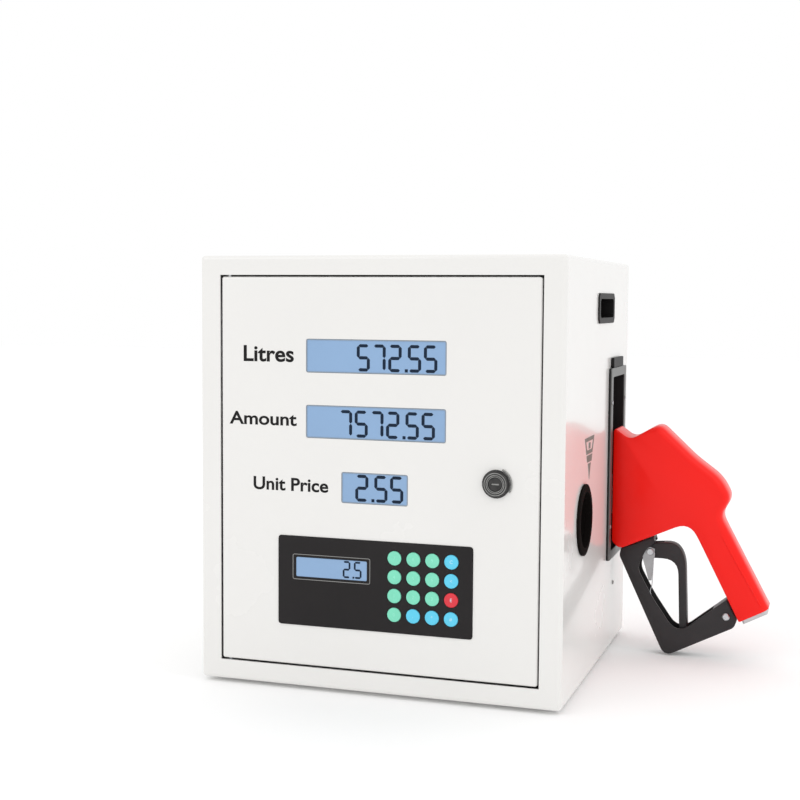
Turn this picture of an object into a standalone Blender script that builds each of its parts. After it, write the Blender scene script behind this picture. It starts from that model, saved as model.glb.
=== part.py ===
"""Compact fuel dispenser with a hung delivery nozzle. All sizes in millimetres until a mesh is made."""
import math
import bpy
import bmesh
from mathutils import Matrix, Vector

# Cabinet: outer size, sheet thickness and fold radius
WIDTH, DEPTH, HEIGHT = 400.0, 380.0, 460.0
SHEET = 2.0
FOLD = 4.0
FRONT = -DEPTH / 2
BACK = DEPTH / 2
RIGHT = WIDTH / 2
# Door: half width of its opening, bottom and top of the opening, gap round the leaf
OPEN_X, OPEN_LOW, OPEN_TOP = 177.0, 21.5, 439.5
DOOR_GAP = 1.8
HINGE_X, HINGE_Y = -168.4, -183.0
# Displays: low x, low z, high x, high z
LITRES = (-77.5, 337.1, 76.8, 372.6)
AMOUNT = (-77.5, 267.9, 76.8, 302.9)
PRICE = (-37.3, 200.6, 36.3, 233.4)
PRESET = (-88.4, 119.0, -7.9, 140.4)
KEYPAD = (-108.6, 66.8, 106.8, 162.4)
KEY_X = (22.4, 43.1, 63.6, 84.1)
KEY_Z = (145.7, 125.9, 106.0, 86.1)
KEY_R = 7.6
LOCK_X, LOCK_Z = 130.3, 228.7
# Side wall: carrying cups, hose port, boot and nozzle plane
CUP_Y, CUP_Z = (-19.0, 80.0), (389.0, 423.0)
PORT_Y, PORT_Z, PORT_R = -86.0, 180.5, 36.5
BOOT_Y, BOOT_Z = (58.0, 159.0), (110.0, 336.0)
NOZZLE_Y = 104.0
GAP = 0.35
MM = 0.001


def clearScene():
    for item in list(bpy.data.objects):
        bpy.data.objects.remove(item)


def makeMaterial(name, colour, metal, rough):
    material = bpy.data.materials.new(name)
    material.use_nodes = True
    shader = material.node_tree.nodes["Principled BSDF"]
    shader.inputs["Base Color"].default_value = (*colour, 1.0)
    shader.inputs["Metallic"].default_value = metal
    shader.inputs["Roughness"].default_value = rough
    return material


def toObject(name, mesh, colour, metal=0.0, rough=0.4, smooth=True):
    data = bpy.data.meshes.new(name)
    bmesh.ops.recalc_face_normals(mesh, faces=mesh.faces)
    mesh.to_mesh(data)
    mesh.free()
    data.transform(Matrix.Scale(MM, 4))
    item = bpy.data.objects.new(name, data)
    bpy.context.collection.objects.link(item)
    data.materials.append(makeMaterial(name, colour, metal, rough))
    if smooth:
        for face in data.polygons:
            face.use_smooth = True
        data.set_sharp_from_angle(angle=math.radians(30))
    return item


def boxMesh(low, high):
    mesh = bmesh.new()
    bmesh.ops.create_cube(mesh, size=1.0)
    for vert in mesh.verts:
        for axis in range(3):
            vert.co[axis] = low[axis] if vert.co[axis] < 0 else high[axis]
    return mesh


def bevelEdges(mesh, edges, width, segments):
    bmesh.ops.bevel(mesh, geom=edges, offset=width, segments=segments, profile=0.5, affect="EDGES")


def edgesAlong(mesh, axis):
    return [e for e in mesh.edges if abs((e.verts[0].co - e.verts[1].co).normalized()[axis]) > 0.99]


def addBox(name, low, high, colour, metal=0.0, rough=0.4, bevel=0.0, along=None, segments=2):
    mesh = boxMesh(low, high)
    if bevel:
        edges = list(mesh.edges) if along is None else edgesAlong(mesh, along)
        bevelEdges(mesh, edges, bevel, segments)
    return toObject(name, mesh, colour, metal, rough)


def prismMesh(outline, low, high, axis):
    """Closed prism of a 2-D outline: axis 0 reads it as (y, z), 1 as (x, z), 2 as (x, y)."""
    mesh = bmesh.new()
    rings = []
    for level in (low, high):
        ring = []
        for a, b in outline:
            place = {0: (level, a, b), 1: (a, level, b), 2: (a, b, level)}[axis]
            ring.append(mesh.verts.new(place))
        rings.append(ring)
    count = len(outline)
    for i in range(count):
        j = (i + 1) % count
        mesh.faces.new((rings[0][i], rings[0][j], rings[1][j], rings[1][i]))
    mesh.faces.new(rings[0])
    mesh.faces.new(rings[1])
    return mesh


def addPrism(name, outline, low, high, axis, colour, metal=0.0, rough=0.4, bevel=0.0, segments=1):
    mesh = prismMesh(outline, low, high, axis)
    bmesh.ops.recalc_face_normals(mesh, faces=mesh.faces)
    if bevel:
        rim = [e for e in mesh.edges if abs(e.verts[0].co[axis] - e.verts[1].co[axis]) < 1e-6]
        bevelEdges(mesh, rim, bevel, segments)
    return toObject(name, mesh, colour, metal, rough)


def latheMesh(profile, segments):
    """Turn a (radius, height) outline about Z. Points at radius 0 make poles."""
    mesh = bmesh.new()
    rings = []
    for radius, height in profile:
        if radius == 0:
            rings.append([mesh.verts.new((0, 0, height))])
            continue
        angles = [2 * math.pi * (i + 0.5) / segments for i in range(segments)]
        rings.append([mesh.verts.new((radius * math.cos(a), radius * math.sin(a), height)) for a in angles])
    count = len(rings)
    closed = profile[0][0] != 0
    for k in range(count if closed else count - 1):
        first, second = rings[k], rings[(k + 1) % count]
        for i in range(segments):
            j = (i + 1) % segments
            if len(first) == 1:
                mesh.faces.new((first[0], second[i], second[j]))
            elif len(second) == 1:
                mesh.faces.new((first[i], first[j], second[0]))
            else:
                mesh.faces.new((first[i], first[j], second[j], second[i]))
    return mesh


def addLathe(name, profile, centre, axis, colour, metal=0.0, rough=0.4, segments=24):
    mesh = latheMesh(profile, segments)
    turn = Vector((0, 0, 1)).rotation_difference(Vector(axis)).to_matrix().to_4x4()
    mesh.transform(Matrix.Translation(centre) @ turn)
    return toObject(name, mesh, colour, metal, rough)


def sweepMesh(points, radius, bore, segments):
    """Straight-ended tube through points with mitred rings. bore 0 makes it solid."""
    mesh = bmesh.new()
    spots = [Vector(p) for p in points]
    rings = {0: [], 1: []}
    first = (spots[1] - spots[0]).normalized()
    side = first.orthogonal().normalized()
    before = first
    for index, spot in enumerate(spots):
        after = (spots[index + 1] - spot).normalized() if index + 1 < len(spots) else before
        tangent = (before + after).normalized()
        side = (side - tangent * side.dot(tangent)).normalized()
        other = tangent.cross(side)
        stretch = 1.0
        for layer, size in ((0, radius), (1, bore)):
            ring = []
            for i in range(segments):
                a = 2 * math.pi * i / segments
                offset = side * math.cos(a) * size + other * math.sin(a) * size
                ring.append(mesh.verts.new(spot + offset * stretch))
            rings[layer].append(ring)
            if not bore:
                break
        before = after
    for layer in ((0, 1) if bore else (0,)):
        for k in range(len(spots) - 1):
            for i in range(segments):
                j = (i + 1) % segments
                a, b = rings[layer][k], rings[layer][k + 1]
                mesh.faces.new((a[i], a[j], b[j], b[i]))
    for k in (0, len(spots) - 1):
        if bore:
            for i in range(segments):
                j = (i + 1) % segments
                a, b = rings[0][k], rings[1][k]
                mesh.faces.new((a[i], a[j], b[j], b[i]))
        else:
            mesh.faces.new(rings[0][k])
    return mesh


def boolean(target, tool, operation):
    change = target.modifiers.new("join", "BOOLEAN")
    change.operation = operation
    change.solver = "EXACT"
    change.object = tool
    bpy.context.view_layer.objects.active = target
    for item in bpy.context.view_layer.objects:
        item.select_set(item == target)
    bpy.ops.object.modifier_apply(modifier="join")
    bpy.data.objects.remove(tool)
    target.data.set_sharp_from_angle(angle=math.radians(30))


def cut(target, mesh):
    boolean(target, toObject("cutter", mesh, (1, 1, 1), smooth=False), "DIFFERENCE")


def fuse(target, mesh):
    boolean(target, toObject("adder", mesh, (1, 1, 1)), "UNION")


def roundRect(low, high, radius, steps=3):
    points = []
    corners = ((high[0] - radius, high[1] - radius, 0), (low[0] + radius, high[1] - radius, 90),
               (low[0] + radius, low[1] + radius, 180), (high[0] - radius, low[1] + radius, 270))
    for x, z, start in corners:
        for k in range(steps + 1):
            a = math.radians(start + 90 * k / steps)
            points.append((x + radius * math.cos(a), z + radius * math.sin(a)))
    return points


def circle(centre, radius, count=32):
    turns = [2 * math.pi * (k + 0.5) / count for k in range(count)]
    return [(centre[0] + radius * math.cos(a), centre[1] + radius * math.sin(a)) for a in turns]


def grow(area, by):
    return (area[0] - by, area[1] - by, area[2] + by, area[3] + by)


WHITE = (0.86, 0.86, 0.84)
BLACK = (0.015, 0.015, 0.016)
RED = (0.78, 0.02, 0.015)
STEEL = (0.62, 0.63, 0.65)
LCD = (0.28, 0.42, 0.62)
CAST = (0.30, 0.32, 0.34)


def cabinetShell():
    mesh = boxMesh((-RIGHT, FRONT, 0), (RIGHT, BACK - 2.3, HEIGHT))
    keep = [e for e in mesh.edges if min(e.verts[0].co.y, e.verts[1].co.y) < 0]
    bevelEdges(mesh, keep, FOLD, 3)
    shell = toObject("cabinet_shell", mesh, WHITE, 0.0, 0.25)
    inner = boxMesh((-RIGHT + SHEET, FRONT + SHEET, SHEET), (RIGHT - SHEET, BACK + 10, HEIGHT - SHEET))
    bevelEdges(inner, edgesAlong(inner, 1), FOLD - SHEET, 2)
    cut(shell, inner)
    cut(shell, boxMesh((-OPEN_X, FRONT - 5, OPEN_LOW), (OPEN_X, FRONT + 5, OPEN_TOP)))
    cup = roundRect((CUP_Y[0] + 5, CUP_Z[0] + 4), (CUP_Y[1] - 5, CUP_Z[1] - 4), 4, 1)
    for side in (-1, 1):
        cut(shell, prismMesh(cup, side * (RIGHT - 6), side * (RIGHT + 6), 0))
    cut(shell, prismMesh(circle((PORT_Y, PORT_Z), PORT_R), RIGHT - 6, RIGHT + 6, 0))
    hole = roundRect((BOOT_Y[0] + 9, BOOT_Z[0] + 8), (BOOT_Y[1] - 9, BOOT_Z[1] - 8), 2, 1)
    cut(shell, prismMesh(hole, RIGHT - 6, RIGHT + 6, 0))


def rearPanel():
    edge = roundRect((-RIGHT + 0.5, 0.5), (RIGHT - 0.5, HEIGHT - 0.5), 3.5, 2)
    panel = addPrism("rear_panel", edge, BACK - 2, BACK, 1, WHITE, 0.0, 0.3)
    for row in range(6):
        z = 330 + 14 * row
        slot = roundRect((-60, z), (60, z + 5), 2.4, 2)
        cut(panel, prismMesh(slot, BACK - 6, BACK + 4, 1))
    cut(panel, prismMesh(circle((60, 60), 11.6, 24), BACK - 6, BACK + 4, 1))


def feet():
    for name, x, y in (("foot_front_left", -165, -155), ("foot_front_right", 165, -155),
                       ("foot_rear_left", -165, 155), ("foot_rear_right", 165, 155)):
        outline = [(0, -4), (11, -4), (13, -3), (13.5, -GAP), (0, -GAP)]
        addLathe(name, outline, (x, y, 0), (0, 0, 1), BLACK, 0.0, 0.8, 20)


def door():
    half, low, top = OPEN_X - DOOR_GAP, OPEN_LOW + DOOR_GAP, OPEN_TOP - DOOR_GAP
    mesh = boxMesh((-half, FRONT, low), (half, FRONT + 12, top))
    rim = [e for e in mesh.edges if max(e.verts[0].co.y, e.verts[1].co.y) < FRONT + 1]
    bevelEdges(mesh, rim + edgesAlong(mesh, 1), 2.5, 3)
    leaf = toObject("door_panel", mesh, WHITE, 0.0, 0.25)
    cut(leaf, boxMesh((-half + 2, FRONT + 2, low + 2), (half - 2, FRONT + 30, top - 2)))
    for area in (LITRES, AMOUNT, PRICE):
        cut(leaf, prismMesh(roundRect(area[:2], area[2:], 2, 2), FRONT - 4, FRONT + 6, 1))
    pad = grow(KEYPAD, GAP)
    cut(leaf, prismMesh(roundRect(pad[:2], pad[2:], 3.3, 3), FRONT - 4, FRONT + 6, 1))
    cut(leaf, prismMesh(circle((LOCK_X, LOCK_Z), 9.9, 24), FRONT - 4, FRONT + 6, 1))
    for z in (low, top):
        cut(leaf, prismMesh(circle((HINGE_X, HINGE_Y), 2.9, 16), z - 6, z + 6, 2))


def hingePins():
    for name, near, far, tip in (("hinge_pin_upper", OPEN_TOP + 0.4, HEIGHT - 2.4, OPEN_TOP - 9),
                                 ("hinge_pin_lower", OPEN_LOW - 0.4, 2.4, OPEN_LOW + 9)):
        low, high = min(near, far), max(near, far)
        item = addBox(name, (-183, FRONT + 2.4, low), (-158, FRONT + 16, high), STEEL, 0.9, 0.3, 1.0, 2, 1)
        ends = sorted((tip, (near + far) / 2))
        fuse(item, prismMesh(circle((HINGE_X, HINGE_Y), 2.5, 16), ends[0], ends[1], 2))


def displays():
    for name, area in (("lcd_litres", LITRES), ("lcd_amount", AMOUNT), ("lcd_price", PRICE)):
        glass = grow(area, -GAP)
        edge = roundRect(glass[:2], glass[2:], 1.7, 2)
        addPrism(name, edge, FRONT + 0.6, FRONT + 4.5, 1, LCD, 0.0, 0.1)
    glass = grow(PRESET, -GAP)
    addPrism("lcd_preset", roundRect(glass[:2], glass[2:], 1.2, 2), FRONT - 0.5, FRONT + 3, 1, LCD, 0.0, 0.1)
    edge = roundRect((-125, 50), (100, 390), 4, 2)
    board = addPrism("display_board", edge, FRONT + 5, FRONT + 6.6, 1, (0.02, 0.16, 0.06), 0.0, 0.5)
    for x, z, w, h, d in ((-100, 320, 22, 30, 7), (-60, 310, 26, 26, 3), (20, 240, 40, 14, 8), (-90, 180, 30, 30, 4),
                          (30, 180, 18, 44, 9), (-20, 100, 34, 34, 3), (60, 320, 24, 40, 11)):
        fuse(board, boxMesh((x, FRONT + 6, z), (x + w, FRONT + 6.6 + d, z + h)))


def keypad():
    edge = roundRect(KEYPAD[:2], KEYPAD[2:], 3, 3)
    panel = addPrism("keypad_panel", edge, FRONT - 0.9, FRONT + 2, 1, BLACK, 0.0, 0.3)
    cut(panel, prismMesh(roundRect(PRESET[:2], PRESET[2:], 1.5, 2), FRONT - 5, FRONT + 5, 1))
    green, blue, red = (0.26, 0.79, 0.54), (0.13, 0.56, 0.91), (0.64, 0.05, 0.07)
    for row, z in enumerate(KEY_Z):
        for column, x in enumerate(KEY_X):
            cut(panel, prismMesh(circle((x, z), KEY_R + GAP, 24), FRONT - 5, FRONT + 5, 1))
            colour = green if column < 3 else blue
            if row == 3 and column:
                colour = blue
            if row == 2 and column == 3:
                colour = red
            cap = [(0, 0), (KEY_R, 0), (KEY_R, 3.6), (KEY_R - 0.6, 4.2), (KEY_R - 2.4, 4.55), (0, 4.65)]
            name = "key_%d_%d" % (row + 1, column + 1)
            addLathe(name, cap, (x, FRONT + 3.0, z), (0, -1, 0), colour, 0.0, 0.35, 24)


def lock():
    spot = (LOCK_X, FRONT, LOCK_Z)
    body = [(7.3, 5.0), (12.6, 5.0), (13.4, 4.2), (13.4, 1.6), (14.6, 1.2), (14.6, GAP), (9.5, GAP), (9.5, -17),
            (7.3, -17)]
    addLathe("lock_housing", body, spot, (0, -1, 0), STEEL, 1.0, 0.15, 32)
    plug = addLathe("lock_plug", [(0, 5.4), (6.4, 5.4), (6.95, 4.9), (6.95, -17.5), (0, -17.5)], spot, (0, -1, 0),
                    (0.5, 0.5, 0.52), 1.0, 0.2, 24)
    slot = boxMesh((LOCK_X - 4.2, FRONT - 9, LOCK_Z - 0.9), (LOCK_X + 4.2, FRONT + 2, LOCK_Z + 0.9))
    cut(plug, slot)
    arm = addPrism("lock_cam", roundRect((LOCK_X - 8, LOCK_Z - 8), (LOCK_X + 8, LOCK_Z + 57), 7, 4), FRONT + 17.9,
                   FRONT + 20.4, 1, STEEL, 1.0, 0.35)
    fuse(arm, prismMesh(circle((LOCK_X, LOCK_Z), 5, 6), FRONT + 20, FRONT + 24, 1))


def carryCups():
    """Recessed hand cups: a thin flange outside the wall and a five-sided cup inside it."""
    for name, side in (("handle_cup_right", 1), ("handle_cup_left", -1)):
        outer = roundRect((CUP_Y[0], CUP_Z[0]), (CUP_Y[1], CUP_Z[1]), 5, 1)
        item = addPrism(name, outer, side * (RIGHT + GAP), side * (RIGHT + 1.8), 0, BLACK, 0.0, 0.5, 0.5)
        tub = roundRect((CUP_Y[0] + 5.4, CUP_Z[0] + 4.4), (CUP_Y[1] - 5.4, CUP_Z[1] - 4.4), 4, 1)
        fuse(item, prismMesh(tub, side * (RIGHT + 1), side * (RIGHT - 34), 0))
        well = roundRect((CUP_Y[0] + 7.4, CUP_Z[0] + 6.4), (CUP_Y[1] - 7.4, CUP_Z[1] - 6.4), 3, 1)
        cut(item, prismMesh(well, side * (RIGHT + 8), side * (RIGHT - 32), 0))


def hoseGrommet():
    ring = [(30, 3.4), (36, 3.4), (38.5, 2.6), (38.5, GAP), (PORT_R - 0.4, GAP), (PORT_R - 0.4, -2.4),
            (38, -2.4), (38, -4.5), (31, -4.5), (30, -3.5)]
    addLathe("hose_grommet", ring, (RIGHT, PORT_Y, PORT_Z), (1, 0, 0), BLACK, 0.0, 0.6, 32)


def boot():
    """Nozzle boot: liner with an outer flange, light bezel over it, cover above and lifting lever inside."""
    outer = roundRect((BOOT_Y[0], BOOT_Z[0]), (BOOT_Y[1], BOOT_Z[1]), 2, 1)
    liner = addPrism("boot_liner", outer, RIGHT + GAP, RIGHT + 2.0, 0, BLACK, 0.0, 0.6)
    tub = roundRect((BOOT_Y[0] + 9.4, BOOT_Z[0] + 8.4), (BOOT_Y[1] - 9.4, BOOT_Z[1] - 8.4), 2, 1)
    fuse(liner, prismMesh(tub, 28, RIGHT + 1, 0))
    well = roundRect((BOOT_Y[0] + 11.4, BOOT_Z[0] + 10.4), (BOOT_Y[1] - 11.4, BOOT_Z[1] - 10.4), 1.5, 1)
    cut(liner, prismMesh(well, 30, RIGHT + 9, 0))
    bezel = addPrism("boot_bezel", outer, RIGHT + 2.3, RIGHT + 3.6, 0, (0.4, 0.4, 0.4), 0.3, 0.4)
    cut(bezel, prismMesh(well, RIGHT - 5, RIGHT + 9, 0))
    addBox("boot_switch_cover", (RIGHT + GAP, 70, BOOT_Z[1] + 0.5), (RIGHT + 4, 135, BOOT_Z[1] + 12),
           BLACK, 0.0, 0.6, 0.8)
    outline = [(196, 306), (190, 312), (150, 296), (120, 262), (126, 258), (156, 288), (196, 300)]
    addPrism("lift_lever", outline, 98, 110, 1, (0.25, 0.25, 0.26), 0.0, 0.5, 1.0)


def pump():
    """Motor, its shaft with a cooling fan, and the pump housing on the same axis."""
    spot, along = (-95, 0, 75), (0, 1, 0)
    body = [(6.6, 20), (50, 20), (52, 23), (52, 137), (50, 140), (6.6, 140)]
    motor = addLathe("motor_body", body, spot, along, (0.05, 0.12, 0.2), 0.3, 0.5, 32)
    fuse(motor, boxMesh((-140, 40, SHEET + 0.4), (-50, 120, 26)))
    fuse(motor, boxMesh((-122, 55, 110), (-68, 105, 142)))
    shaft = addLathe("motor_shaft", [(0, -38), (6, -38), (6, 146), (14, 146), (14, 157), (0, 157)], spot, along,
                     STEEL, 1.0, 0.3, 24)
    for k in range(6):
        blade = boxMesh((10, 147, -1.5), (44, 156, 1.5))
        blade.transform(Matrix.Rotation(math.radians(60 * k), 4, "Y"))
        blade.transform(Matrix.Translation(spot))
        fuse(shaft, blade)
    shell = [(0, -60), (46, -60), (54, -52), (54, 8), (48, 16), (6.6, 16), (6.6, -41), (0, -41)]
    housing = addLathe("pump_housing", shell, spot, along, CAST, 0.6, 0.6, 32)
    fuse(housing, boxMesh((-140, -50, SHEET + 0.4), (-50, 8, 30)))
    fuse(housing, prismMesh(circle((-95, -25), 18, 20), 110, 150, 2))
    fuse(housing, prismMesh(circle((-25, 60), 18, 20), -60, -22, 0))


def pipes():
    steel = (0.5, 0.5, 0.52)
    suction = toObject("suction_pipe", sweepMesh([(60, 214, 60), (60, -10, 60), (45, -25, 60), (-21, -25, 60)],
                                                 11, 8.5, 16), steel, 0.9, 0.35)
    fuse(suction, latheRing((60, 196, 60), (0, 1, 0), 15, 9, 6))
    toObject("link_pipe", sweepMesh([(-95, -25, 150.5), (-95, -25, 214.5)], 12, 9, 16), steel, 0.9, 0.35)
    route = [(-60, -30, 285.5), (-60, -30, 322), (-48, -34, 332), (60, -66, 332), (136, -84, 312), (150, -86, 296),
             (150, -86, 205), (156, -86, 190), (168, -86, 181), (189, -86, 180.5)]
    toObject("outlet_pipe", sweepMesh(route, 13, 10, 16), steel, 0.9, 0.35)


def latheRing(centre, axis, radius, bore, length):
    mesh = latheMesh([(bore, 0), (radius, 0), (radius, length), (bore, length)], 16)
    turn = Vector((0, 0, 1)).rotation_difference(Vector(axis)).to_matrix().to_4x4()
    mesh.transform(Matrix.Translation(centre) @ turn)
    return mesh


def gearOutline(centre, phase):
    points = []
    for tooth in range(10):
        middle = math.radians(36 * tooth + phase)
        for radius, shift in ((13.6, -9.5), (18.8, -3.5), (18.8, 3.5), (13.6, 9.5)):
            a = middle + math.radians(shift)
            points.append((centre[0] + radius * math.cos(a), centre[1] + radius * math.sin(a)))
    return points


def flowMeter():
    """Gear flow meter: two meshed gears on pins in an open-fronted housing."""
    housing = addBox("meter_housing", (-135, -60, 215), (-35, 0, 285), (0.45, 0.45, 0.47), 0.8, 0.45, 4.0, 1)
    for x, name, phase in ((-102.2, "meter_gear_a", 0), (-67.8, "meter_gear_b", 18)):
        cut(housing, prismMesh(circle((x, 250), 20, 28), -70, -32, 1))
        fuse(housing, prismMesh(circle((x, 250), 3, 16), -58, -30, 1))
        gear = addPrism(name, gearOutline((x, 250), phase), -56, -34, 1, (0.6, 0.5, 0.3), 0.9, 0.35)
        cut(gear, prismMesh(circle((x, 250), 3.4, 16), -66, -20, 1))


def controlBox():
    box = addBox("control_box", (-190, 92, 268), (-92, 184, 420), (0.1, 0.1, 0.11), 0.0, 0.5, 3.0)
    for z in (300, 330, 360):
        fuse(box, boxMesh((-180, 84, z), (-102, 94, z + 14)))


COVER = [(202.3, 131), (211.2, 122.2), (226, 127), (242, 134.2), (257.6, 141.2), (273, 148.4), (283.5, 151.9),
         (292, 151.9), (297.3, 148.4), (302.7, 139), (319, 106.6), (336.8, 71.8), (351, 43.8), (384, 60.4),
         (385.2, 65.5), (368.9, 93), (351.3, 123.4), (335.2, 152.4), (328.8, 166), (330.5, 175.5), (338, 186),
         (334.5, 196), (326.8, 210.5), (316.2, 221.5), (296.5, 233), (275.9, 250), (262, 265), (254.9, 269.4),
         (242.6, 266.5), (222.5, 253.7), (204.5, 264), (202.3, 262)]
CORE = [(199, 164), (199, 208), (238, 238), (262, 244), (292, 222), (320, 196), (322, 186), (317, 168), (325, 149),
        (383.1, 54.7), (356.5, 40.7), (310, 135.5), (302, 152), (290, 158.5), (270, 155), (245, 146), (226, 142),
        (212, 148)]
GUARD = [(212, 120.6), (210.4, 111.8), (259.2, 8), (263, 1), (267.4, -2.4), (272.5, -2.4), (343.6, 34), (348.6, 43.5),
         (336.4, 67.4), (293.7, 33.1), (290.3, 31.2), (281.6, 28.8), (273.7, 31.4), (267.4, 39.4), (249.2, 65.8),
         (234.5, 93.6), (233.5, 100.8), (236.8, 111.8), (241.1, 119.3), (252.3, 130), (250.5, 136.4), (242, 132.8),
         (226, 125.7)]
CHANNEL = [(218.5, 113), (262.5, 16), (268, 6.5), (274, 6), (336, 38), (334, 50), (300, 60), (290, 60), (262, 80),
           (256, 100), (260, 132), (252, 133), (240, 128), (223, 119.5)]
LEVER = [(243, 126), (249, 128.2), (263.3, 129.4), (275.6, 124.4), (282.8, 116.8), (288.2, 105.6), (290.2, 79),
         (291.3, 18), (282.3, 13.5), (279.6, 85), (277, 101.2), (272.5, 108.1), (265.4, 110.3), (244, 110.3),
         (239.5, 115), (239.5, 122)]
LATCH = [(237.5, 117.1), (240.9, 122.3), (247.1, 123.4), (251.9, 121.6), (251.3, 112.6), (248.7, 83.6),
         (245.2, 83.4), (241.4, 97.5), (238.2, 108)]
PIVOT = (246.6, 118.0)


def shifted(outline, by):
    """Move every side of an outline outwards by a distance."""
    area = sum(a[0] * b[1] - b[0] * a[1] for a, b in zip(outline, outline[1:] + outline[:1]))
    sign = 1 if area > 0 else -1
    points = []
    for i, spot in enumerate(outline):
        before, after = Vector(outline[i - 1]), Vector(outline[(i + 1) % len(outline)])
        here = Vector(spot)
        one, two = (here - before).normalized(), (after - here).normalized()
        normals = [Vector((v.y, -v.x)) * sign for v in (one, two)]
        middle = (normals[0] + normals[1]).normalized()
        points.append(tuple(here + middle * by / max(0.4, middle.dot(normals[0]))))
    return points


def nozzle():
    y = NOZZLE_Y
    cover = addPrism("nozzle_cover", COVER, y - 24, y + 24, 1, RED, 0.0, 0.25, 6.0, 3)
    cut(cover, prismMesh(shifted(CORE, 0.5), y - 17.5, y + 17.5, 1))
    cut(cover, boxMesh((238, y - 9, 118), (256, y + 9, 152)))
    body = addPrism("nozzle_body", CORE, y - 17, y + 17, 1, (0.7, 0.7, 0.71), 0.9, 0.4, 2.0)
    stem = roundRect((PIVOT[0] - 4, PIVOT[1] - 5), (PIVOT[0] + 4, 152), 3, 2)
    fuse(body, prismMesh(stem, y - 3, y + 3, 1))
    cut(body, prismMesh(circle(PIVOT, 2.5, 16), y - 9, y + 9, 1))
    inlet = latheMesh([(0, -24), (10, -24), (10, 6), (0, 6)], 20)
    way = Vector((0.465, 0, -0.885))
    turn = Vector((0, 0, 1)).rotation_difference(way).to_matrix().to_4x4()
    inlet.transform(Matrix.Translation((369.8, y, 47.7)) @ turn)
    cut(body, inlet)
    path = [(198.5, y, 185), (162, y, 185), (150, y, 182.6), (56, y, 144.6)]
    spout = toObject("nozzle_spout", sweepMesh(path, 11.5, 9.5, 20), (0.72, 0.72, 0.74), 0.95, 0.25)
    fuse(spout, latheRing((186, y, 185), (1, 0, 0), 15.5, 10.5, 12.5))


def trigger():
    y = NOZZLE_Y
    guard = addPrism("trigger_guard", GUARD, y - 13, y + 13, 1, BLACK, 0.0, 0.45)
    cut(guard, prismMesh(CHANNEL, y - 10.7, y + 10.7, 1))
    cut(guard, prismMesh(circle((336.3, 47.6), 2.5, 12), y - 20, y + 20, 1))
    cut(guard, boxMesh((241.5, y - 4, 118), (262, y + 4, 145)))
    lever = addPrism("trigger_lever", LEVER, y - 8, y + 8, 1, BLACK, 0.0, 0.4, 1.8, 2)
    cut(lever, boxMesh((230, y - 3.6, 100), (262, y + 3.6, 140)))
    cut(lever, prismMesh(circle(PIVOT, 2.5, 16), y - 12, y + 12, 1))
    pin = [(0, -12.4), (3.6, -12.4), (4.2, -11.6), (4.2, -10.6), (2.1, -10.6), (2.1, 9.5), (0, 9.5)]
    addLathe("trigger_pin", pin, (PIVOT[0], y, PIVOT[1]), (0, 1, 0), STEEL, 1.0, 0.25, 16)
    latch = addPrism("hold_latch", LATCH, y - 10.2, y - 8.6, 1, STEEL, 1.0, 0.3)
    cut(latch, prismMesh(circle(PIVOT, 2.5, 16), y - 20, y, 1))
    screw = [(0, -16.4), (3.2, -16.4), (4.3, -15.4), (4.3, -13.4), (2.1, -13.4), (2.1, 15), (0, 15)]
    addLathe("guard_screw", screw, (336.3, y, 47.6), (0, 1, 0), STEEL, 1.0, 0.25, 20)


def main():
    clearScene()
    for stage in (cabinetShell, rearPanel, feet, door, hingePins, displays, keypad, lock, carryCups, hoseGrommet,
                  boot, pump, pipes, flowMeter, controlBox, nozzle, trigger):
        stage()
        print("made", stage.__name__)


main()
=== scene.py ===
import math
import bpy
from mathutils import Matrix, Vector


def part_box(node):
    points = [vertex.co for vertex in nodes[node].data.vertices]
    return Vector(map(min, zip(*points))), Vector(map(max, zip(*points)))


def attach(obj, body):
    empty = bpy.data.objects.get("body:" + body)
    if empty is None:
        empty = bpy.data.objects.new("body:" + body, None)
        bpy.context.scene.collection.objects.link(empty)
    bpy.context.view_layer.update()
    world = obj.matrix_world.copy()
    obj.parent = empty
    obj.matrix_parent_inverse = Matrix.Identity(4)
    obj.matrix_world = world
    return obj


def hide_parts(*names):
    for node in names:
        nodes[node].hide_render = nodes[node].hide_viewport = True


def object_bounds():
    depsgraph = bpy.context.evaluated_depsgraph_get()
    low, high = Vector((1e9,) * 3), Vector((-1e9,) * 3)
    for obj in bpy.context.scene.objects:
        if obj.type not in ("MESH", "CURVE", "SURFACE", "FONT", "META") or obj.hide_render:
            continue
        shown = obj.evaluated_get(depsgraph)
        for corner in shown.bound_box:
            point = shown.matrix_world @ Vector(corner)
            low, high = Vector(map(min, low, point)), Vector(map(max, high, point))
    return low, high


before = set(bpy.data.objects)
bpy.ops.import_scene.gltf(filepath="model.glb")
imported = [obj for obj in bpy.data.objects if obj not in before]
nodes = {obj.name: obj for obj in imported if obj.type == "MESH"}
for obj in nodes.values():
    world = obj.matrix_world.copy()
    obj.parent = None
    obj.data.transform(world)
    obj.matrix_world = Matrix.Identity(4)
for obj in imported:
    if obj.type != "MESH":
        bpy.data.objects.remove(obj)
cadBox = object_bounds()
mm = 0.001
print("frame loaded:", len(nodes), "nodes")


# Selecting and finishing pieces

def deselectAll():
    if bpy.context.object and bpy.context.object.mode != "OBJECT":
        bpy.ops.object.mode_set(mode="OBJECT")
    bpy.ops.object.select_all(action="DESELECT")


def selectOnly(piece):
    deselectAll()
    piece.select_set(True)
    bpy.context.view_layer.objects.active = piece


def editAll(piece):
    selectOnly(piece)
    bpy.ops.object.mode_set(mode="EDIT")
    bpy.ops.mesh.select_all(action="SELECT")


def leaveEdit():
    bpy.ops.object.mode_set(mode="OBJECT")


def settle(piece):
    selectOnly(piece)
    bpy.ops.object.transform_apply(location=True, rotation=True, scale=True)


weldLook = {"merge": 0.000004, "collapse": 0.000002}   # metres


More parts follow.
